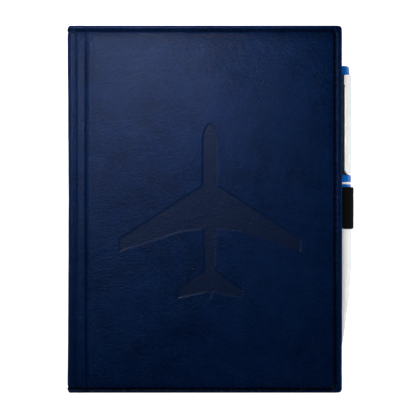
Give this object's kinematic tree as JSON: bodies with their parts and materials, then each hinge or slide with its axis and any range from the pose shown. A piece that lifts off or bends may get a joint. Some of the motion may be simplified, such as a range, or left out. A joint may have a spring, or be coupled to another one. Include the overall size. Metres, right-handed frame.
{
  "type": "pilot logbook",
  "caption": "Padded, stitched wrap cover round a sewn ledger block, opening at spine and cover hinges, with a twist ballpoint in an elastic fore-edge loop.",
  "frame": {"origin": "centre of the back cover's outer face, which the book rests on", "axes": "+X from the spine to the fore-edge, +Y from the tail to the head, +Z from the back cover to the front cover"},
  "size_m": [0.1393, 0.178, 0.0228],
  "materials": {
    "leatherette": "fine grain, satin",
    "pocket": "smooth, satin",
    "foam": "open cell",
    "board": "matt grey board",
    "lining": "woven, matt",
    "card": "matt",
    "thread": "twisted polyester",
    "sewing_thread": "twisted cotton",
    "tape": "woven cotton",
    "paper": "uncoated, off-white",
    "elastic": "ribbed",
    "pen_blue": "gloss",
    "pen_white": "gloss",
    "pen_black": "gloss",
    "mechanism": "natural",
    "refill_metal": "turned"
  },
  "bodies": {
    "back_cover": {"back_cover_skin": "leatherette", "back_foam_pad": "foam", "back_board": "board", "back_lining": "lining", "back_sleeve": "pocket", "back_card": "card", "back_cover_stitching": "thread", "pen_loop": "elastic", "pen_loop_tack": "thread", "signature_06": "paper", "signature_07": "paper", "signature_08": "paper", "signature_09": "paper", "signature_10": "paper", "back_spine_tape": "tape", "back_sewing_thread": "sewing_thread"},
    "spine": {"spine_skin": "leatherette", "spine_stiffener": "board", "spine_lining": "lining", "spine_stitching": "thread"},
    "front_cover": {"front_cover_skin": "leatherette", "front_foam_pad": "foam", "front_board": "board", "front_lining": "lining", "front_sleeve": "pocket", "front_card": "card", "front_cover_stitching": "thread"},
    "front_pages": {"signature_01": "paper", "signature_02": "paper", "signature_03": "paper", "signature_04": "paper", "signature_05": "paper", "front_spine_tape": "tape", "front_sewing_thread": "sewing_thread"},
    "pen": {"pen_upper_barrel": "pen_black", "pen_crown": "pen_blue", "pen_clip_collar": "pen_black", "pen_upper_ring": "pen_blue", "pen_white_ring": "pen_white", "pen_cam_sleeve": "mechanism"},
    "pen_lower_half": {"pen_lower_barrel": "pen_white", "pen_lower_ring": "pen_blue", "pen_nose_cone": "pen_white"},
    "pen_refill": {"pen_refill_tube": "mechanism", "pen_refill_point": "refill_metal", "pen_cam_follower": "mechanism"},
    "pen_clip": {"pen_clip": "pen_white"}
  },
  "joints": [
    {"name": "spine_hinge", "type": "hinge", "parent": "back_cover", "child": "spine", "pos_m": [-0.0665, 0, 0], "axis": [0, -1, 0], "range_deg": [0, 90]},
    {"name": "front_cover_hinge", "type": "hinge", "parent": "spine", "child": "front_cover", "pos_m": [-0.0665, 0, 0.0228], "axis": [0, -1, 0], "range_deg": [0, 90]},
    {"name": "page_turn", "type": "hinge", "parent": "back_cover", "child": "front_pages", "pos_m": [-0.0642, 0, 0.01132], "axis": [0, -1, 0], "range_deg": [0, 179.1]},
    {"name": "pen_slide", "type": "slide", "parent": "back_cover", "child": "pen", "axis": [0, 1, 0], "range_m": [-0.005, 0.16]},
    {"name": "pen_twist", "type": "hinge", "parent": "pen", "child": "pen_lower_half", "pos_m": [0.066, 0, 0.011], "axis": [0, 1, 0], "range_deg": [0, 180]},
    {"name": "refill_advance", "type": "slide", "parent": "pen", "child": "pen_refill", "axis": [0, -1, 0], "range_m": [0, 0.005]},
    {"name": "pen_clip_flex", "type": "hinge", "parent": "pen", "child": "pen_clip", "pos_m": [0.07003, 0.0643, 0.01489], "axis": [-0.6947, 0, 0.7193], "range_deg": [0, 4], "stiffness_Nm_per_rad": 0.05}
  ],
  "couplings": [
    {"joint": "spine_hinge", "follows": "front_cover_hinge", "ratio": 1},
    {"joint": "page_turn", "follows": "front_cover_hinge", "ratio": 1.99},
    {"joint": "refill_advance", "follows": "pen_twist", "m_per_rad": 0.00159}
  ]
}
